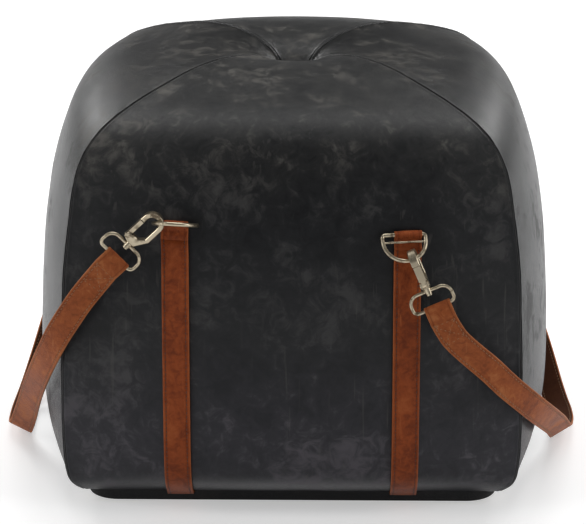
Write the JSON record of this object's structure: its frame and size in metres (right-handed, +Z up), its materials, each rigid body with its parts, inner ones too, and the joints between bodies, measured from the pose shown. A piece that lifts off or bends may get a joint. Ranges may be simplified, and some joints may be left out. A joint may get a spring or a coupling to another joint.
{
  "type": "pouf",
  "caption": "Square leather pouf with a tufted crown, sling straps ending in D-rings, and tan carry straps clipped on with swivel snap hooks.",
  "frame": {"origin": "on the floor, under the middle of the body", "axes": "+Z up, -Y is the front, +X is to the right as seen from the front"},
  "size_m": [0.5787, 0.53, 0.4054],
  "materials": {
    "charcoal_leather": "waxed, softly worn",
    "seam_leather": "waxed, stitched seam",
    "sling_leather": "saddle tan, satin",
    "tan_leather": "saddle tan, satin",
    "hardware_metal": "antique pale, brushed",
    "foam": "matt open-cell foam",
    "black_wrap": "black matt cloth",
    "plain_steel": "zinc plated",
    "twine": "waxed twine",
    "frame_wood": "sawn pine and ply"
  },
  "bodies": {
    "pouf_body": {"base_board": "frame_wood", "base_wrap": "black_wrap", "bottom_rail_back": "frame_wood", "bottom_rail_front": "frame_wood", "bottom_rail_left": "frame_wood", "bottom_rail_right": "frame_wood", "corner_post_back_left": "frame_wood", "corner_post_back_right": "frame_wood", "corner_post_front_left": "frame_wood", "corner_post_front_right": "frame_wood", "deck_board": "frame_wood", "frame_screws": "plain_steel", "leather_gore_back": "charcoal_leather", "leather_gore_front": "charcoal_leather", "leather_gore_left": "charcoal_leather", "leather_gore_right": "charcoal_leather", "seam_bead_back_left": "seam_leather", "seam_bead_back_right": "seam_leather", "seam_bead_front_left": "seam_leather", "seam_bead_front_right": "seam_leather", "seat_foam": "foam", "side_pad_back": "foam", "side_pad_front": "foam", "side_pad_left": "foam", "side_pad_right": "foam", "sling_strap_left": "sling_leather", "sling_strap_right": "sling_leather", "top_rail_back": "frame_wood", "top_rail_front": "frame_wood", "top_rail_left": "frame_wood", "top_rail_right": "frame_wood", "tuft_button": "charcoal_leather", "tuft_twine": "twine", "tuft_washer": "plain_steel"},
    "left_handle": {"carry_strap_left": "tan_leather", "front_swivel_loop_left": "hardware_metal", "back_swivel_loop_left": "hardware_metal"},
    "right_handle": {"carry_strap_right": "tan_leather", "front_swivel_loop_right": "hardware_metal", "back_swivel_loop_right": "hardware_metal"},
    "front_left_ring": {"front_d_ring_left": "hardware_metal"},
    "front_left_hook": {"front_hook_body_left": "hardware_metal", "front_gate_rivet_left": "hardware_metal"},
    "front_left_gate": {"front_hook_gate_left": "hardware_metal"},
    "front_right_ring": {"front_d_ring_right": "hardware_metal"},
    "front_right_hook": {"front_hook_body_right": "hardware_metal", "front_gate_rivet_right": "hardware_metal"},
    "front_right_gate": {"front_hook_gate_right": "hardware_metal"},
    "back_left_ring": {"back_d_ring_left": "hardware_metal"},
    "back_left_hook": {"back_hook_body_left": "hardware_metal", "back_gate_rivet_left": "hardware_metal"},
    "back_left_gate": {"back_hook_gate_left": "hardware_metal"},
    "back_right_ring": {"back_d_ring_right": "hardware_metal"},
    "back_right_hook": {"back_hook_body_right": "hardware_metal", "back_gate_rivet_right": "hardware_metal"},
    "back_right_gate": {"back_hook_gate_right": "hardware_metal"}
  },
  "joints": [
    {"name": "left_handle_lift", "type": "hinge", "parent": "pouf_body", "child": "left_handle", "pos_m": [-0.12477, 0, 0.29574], "axis": [0, 1, 0], "range_deg": [0, 165]},
    {"name": "right_handle_lift", "type": "hinge", "parent": "pouf_body", "child": "right_handle", "pos_m": [0.11279, 0, 0.26372], "axis": [0, -1, 0], "range_deg": [0, 20]},
    {"name": "front_left_ring_swing", "type": "hinge", "parent": "pouf_body", "child": "front_left_ring", "pos_m": [-0.10513, -0.2337, 0.29079], "axis": [-0.9869, 0.1616, 0], "range_deg": [-4, 0]},
    {"name": "front_left_hook_swivel", "type": "hinge", "parent": "left_handle", "child": "front_left_hook", "pos_m": [-0.14908, -0.24504, 0.27508], "axis": [-0.7218, 0, -0.6921], "range_deg": [-3, 3]},
    {"name": "front_left_gate_open", "type": "hinge", "parent": "front_left_hook", "child": "front_left_gate", "pos_m": [-0.14838, -0.24504, 0.28519], "axis": [0, 1, 0], "range_deg": [0, 20], "stiffness_Nm_per_rad": 0.02, "springref_deg": -17.19},
    {"name": "front_right_ring_swing", "type": "hinge", "parent": "pouf_body", "child": "front_right_ring", "pos_m": [0.10296, -0.23566, 0.28271], "axis": [-0.9867, -0.1628, 0], "range_deg": [0, 3]},
    {"name": "front_right_hook_swivel", "type": "hinge", "parent": "right_handle", "child": "front_right_hook", "pos_m": [0.12534, -0.25642, 0.23554], "axis": [0.4023, -0.1478, -0.9035], "range_deg": [-8, 0]},
    {"name": "front_right_gate_open", "type": "hinge", "parent": "front_right_hook", "child": "front_right_gate", "pos_m": [0.12191, -0.26206, 0.24324], "axis": [-0.9135, 0, -0.4067], "range_deg": [0, 20], "stiffness_Nm_per_rad": 0.02, "springref_deg": -17.19},
    {"name": "back_left_ring_swing", "type": "hinge", "parent": "pouf_body", "child": "back_left_ring", "pos_m": [-0.10513, 0.2337, 0.29079], "axis": [0.9869, 0.1616, 0], "range_deg": [-4, 0]},
    {"name": "back_left_hook_swivel", "type": "hinge", "parent": "left_handle", "child": "back_left_hook", "pos_m": [-0.14908, 0.24504, 0.27508], "axis": [-0.7218, 0, -0.6921], "range_deg": [-3, 3]},
    {"name": "back_left_gate_open", "type": "hinge", "parent": "back_left_hook", "child": "back_left_gate", "pos_m": [-0.14838, 0.24504, 0.28519], "axis": [0, 1, 0], "range_deg": [0, 20], "stiffness_Nm_per_rad": 0.02, "springref_deg": -17.19},
    {"name": "back_right_ring_swing", "type": "hinge", "parent": "pouf_body", "child": "back_right_ring", "pos_m": [0.10296, 0.23566, 0.28271], "axis": [0.9867, -0.1628, 0], "range_deg": [0, 3]},
    {"name": "back_right_hook_swivel", "type": "hinge", "parent": "right_handle", "child": "back_right_hook", "pos_m": [0.12534, 0.25642, 0.23554], "axis": [0.4023, 0.1478, -0.9035], "range_deg": [0, 8]},
    {"name": "back_right_gate_open", "type": "hinge", "parent": "back_right_hook", "child": "back_right_gate", "pos_m": [0.12191, 0.26206, 0.24324], "axis": [0.9135, 0, 0.4067], "range_deg": [0, 20], "stiffness_Nm_per_rad": 0.02, "springref_deg": -17.19}
  ]
}
